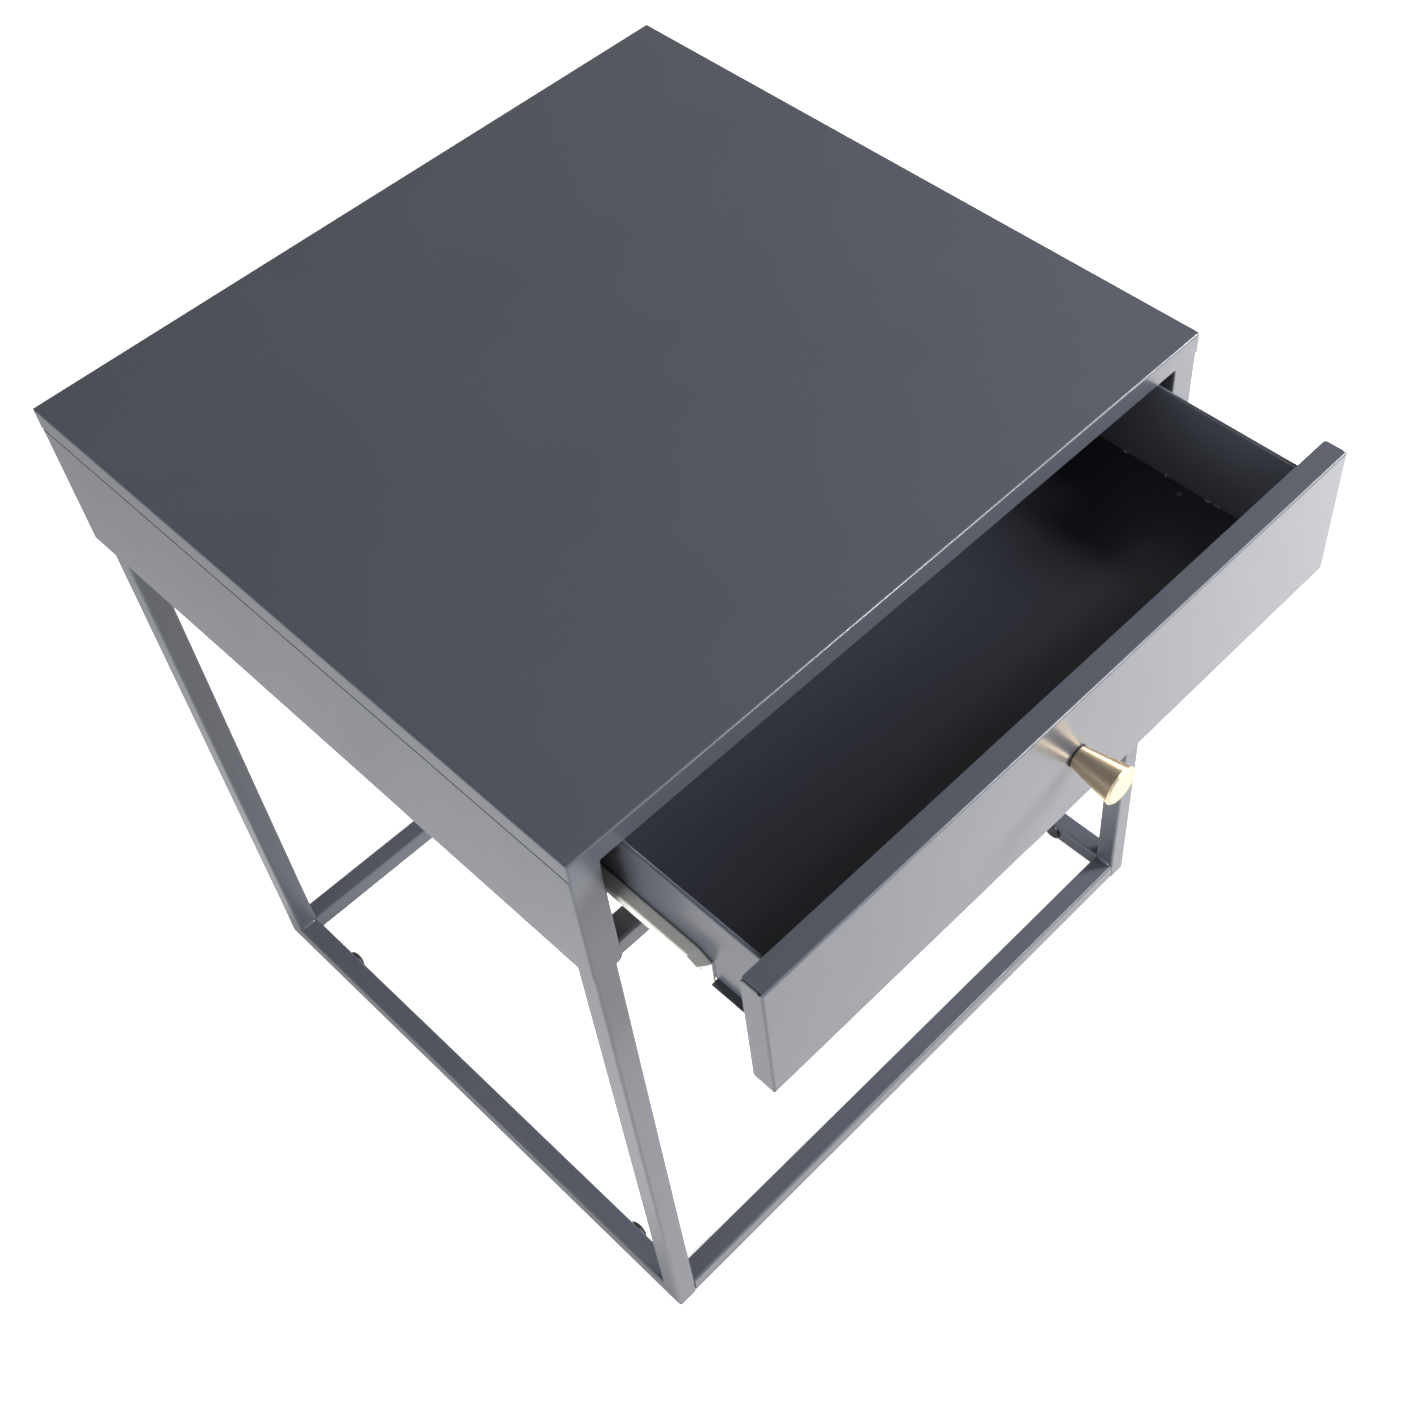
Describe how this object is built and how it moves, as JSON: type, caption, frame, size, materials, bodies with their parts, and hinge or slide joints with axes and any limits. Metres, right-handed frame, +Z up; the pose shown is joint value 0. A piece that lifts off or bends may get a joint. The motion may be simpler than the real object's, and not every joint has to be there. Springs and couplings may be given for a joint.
{
  "type": "side table with drawer",
  "caption": "Square metal side table: thin tube legs with a floor-level rail loop, a folded sheet top and case, and a drawer on roller slides pulled by a conical brass knob.",
  "frame": {"origin": "on the floor, at the centre of the stored object's box, drawer open as stored; the middle of the table top is 73 mm behind it", "axes": "+X to the right seen from the drawer side, +Y towards the back, +Z up; the drawer opens along -Y"},
  "size_m": [0.5, 0.622, 0.583],
  "materials": {
    "powder_coat": "satin dark blue-grey powder coat with a fine soft texture",
    "slide_coating": "smooth cream epoxy coat",
    "knob_brass": "satin brushed light brass",
    "black_plastic": "black satin moulding",
    "bumper_rubber": "soft dark rubber",
    "zinc_hardware": "bright zinc plate",
    "roller_nylon": "white nylon"
  },
  "bodies": {
    "frame": {"lid": "powder_coat", "side_panel_left": "powder_coat", "side_panel_right": "powder_coat", "back_panel": "powder_coat", "leg_front_left": "powder_coat", "leg_front_right": "powder_coat", "leg_rear_left": "powder_coat", "leg_rear_right": "powder_coat", "base_rail_left": "powder_coat", "base_rail_right": "powder_coat", "base_rail_front": "powder_coat", "base_rail_rear": "powder_coat", "top_rail_left": "powder_coat", "top_rail_right": "powder_coat", "top_rail_front": "powder_coat", "top_rail_rear": "powder_coat", "drawer_cross_rail": "powder_coat", "lid_stiffener": "powder_coat", "lid_studs": "zinc_hardware", "lid_nuts": "zinc_hardware", "back_rivets": "zinc_hardware", "slide_bracket_left": "powder_coat", "slide_bracket_right": "powder_coat", "cabinet_slide_left": "slide_coating", "cabinet_slide_right": "slide_coating", "front_axle_left": "zinc_hardware", "front_axle_right": "zinc_hardware", "cabinet_slide_screws": "zinc_hardware", "rail_plugs": "black_plastic", "floor_glides": "black_plastic"},
    "drawer": {"drawer_slide_left": "slide_coating", "drawer_slide_right": "slide_coating", "drawer_slide_screws": "zinc_hardware", "drawer_side_left": "powder_coat", "drawer_side_right": "powder_coat", "drawer_floor": "powder_coat", "drawer_back": "powder_coat", "drawer_front": "powder_coat", "drawer_front_cover": "powder_coat", "drawer_bumpers": "bumper_rubber", "knob": "knob_brass", "knob_ring": "black_plastic", "knob_screw": "zinc_hardware", "rear_axle_left": "zinc_hardware", "rear_axle_right": "zinc_hardware"},
    "front_roller_left": {"front_roller_left": "roller_nylon"},
    "front_roller_right": {"front_roller_right": "roller_nylon"},
    "rear_roller_left": {"rear_roller_left": "roller_nylon"},
    "rear_roller_right": {"rear_roller_right": "roller_nylon"}
  },
  "joints": [
    {"name": "drawer_slide", "type": "slide", "parent": "frame", "child": "drawer", "axis": [0, -1, 0], "range_m": [-0.099, 0.201]},
    {"name": "front_roller_left_spin", "type": "hinge", "parent": "frame", "child": "front_roller_left", "pos_m": [-0.2197, -0.11, 0.5105], "axis": [1, 0, 0], "continuous": true},
    {"name": "rear_roller_left_spin", "type": "hinge", "parent": "drawer", "child": "rear_roller_left", "pos_m": [-0.2253, 0.165, 0.5105], "axis": [1, 0, 0], "continuous": true},
    {"name": "front_roller_right_spin", "type": "hinge", "parent": "frame", "child": "front_roller_right", "pos_m": [0.2197, -0.11, 0.5105], "axis": [1, 0, 0], "continuous": true},
    {"name": "rear_roller_right_spin", "type": "hinge", "parent": "drawer", "child": "rear_roller_right", "pos_m": [0.2253, 0.165, 0.5105], "axis": [1, 0, 0], "continuous": true}
  ],
  "couplings": [
    {"joint": "front_roller_left_spin", "follows": "drawer_slide", "rad_per_m": 111.11},
    {"joint": "rear_roller_left_spin", "follows": "drawer_slide", "rad_per_m": 111.11},
    {"joint": "front_roller_right_spin", "follows": "drawer_slide", "rad_per_m": 111.11},
    {"joint": "rear_roller_right_spin", "follows": "drawer_slide", "rad_per_m": 111.11}
  ]
}
